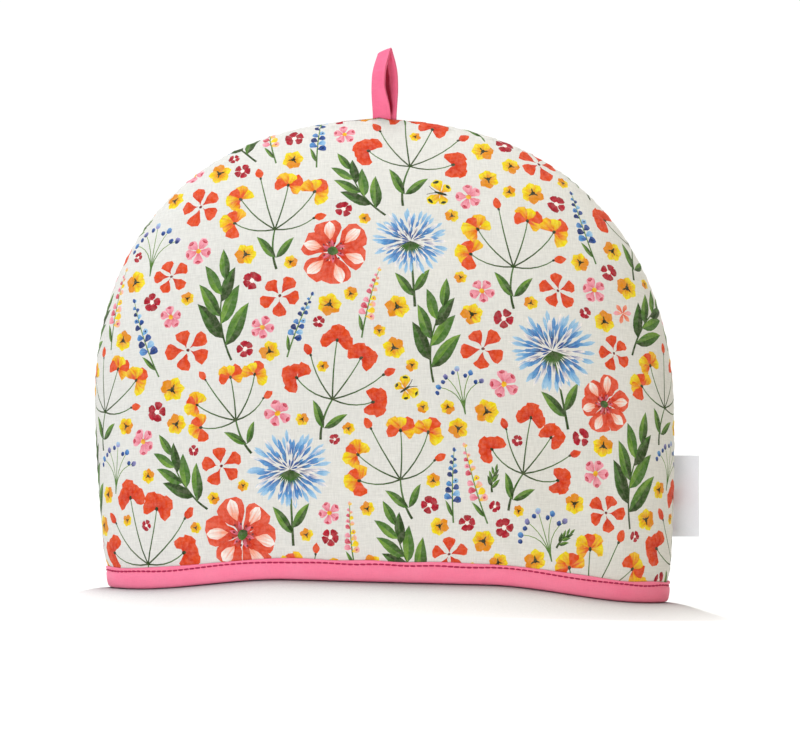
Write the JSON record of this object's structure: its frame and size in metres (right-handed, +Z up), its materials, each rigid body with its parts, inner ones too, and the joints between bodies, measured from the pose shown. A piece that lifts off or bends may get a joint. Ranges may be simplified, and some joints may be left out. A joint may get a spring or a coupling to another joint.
{
  "type": "tea cosy",
  "caption": "Padded, dome-shaped fabric cover that keeps a teapot warm, open at its bound hem, with a hanging loop in the top seam and a plain sewn-in side tab.",
  "frame": {"origin": "centre of the bounding box, at the level of the surface that the hem stands on", "axes": "+X to the right-hand side seam, which holds the tab; +Y from the front panel to the back panel; +Z up to the hanging loop"},
  "size_m": [0.3522, 0.1522, 0.3187],
  "materials": {
    "floral_cloth": "matt linen-look cotton, colour printed with scattered meadow flowers",
    "pink_binding": "matt cotton bias binding, top-stitched",
    "pink_tape": "matt folded cotton tape",
    "white_tab": "soft satin-woven white tape, bare"
  },
  "bodies": {
    "root": {"front_panel": "floral_cloth", "back_panel": "floral_cloth", "hem_binding": "pink_binding", "hanging_loop": "pink_tape", "side_tab": "white_tab"}
  },
  "joints": []
}
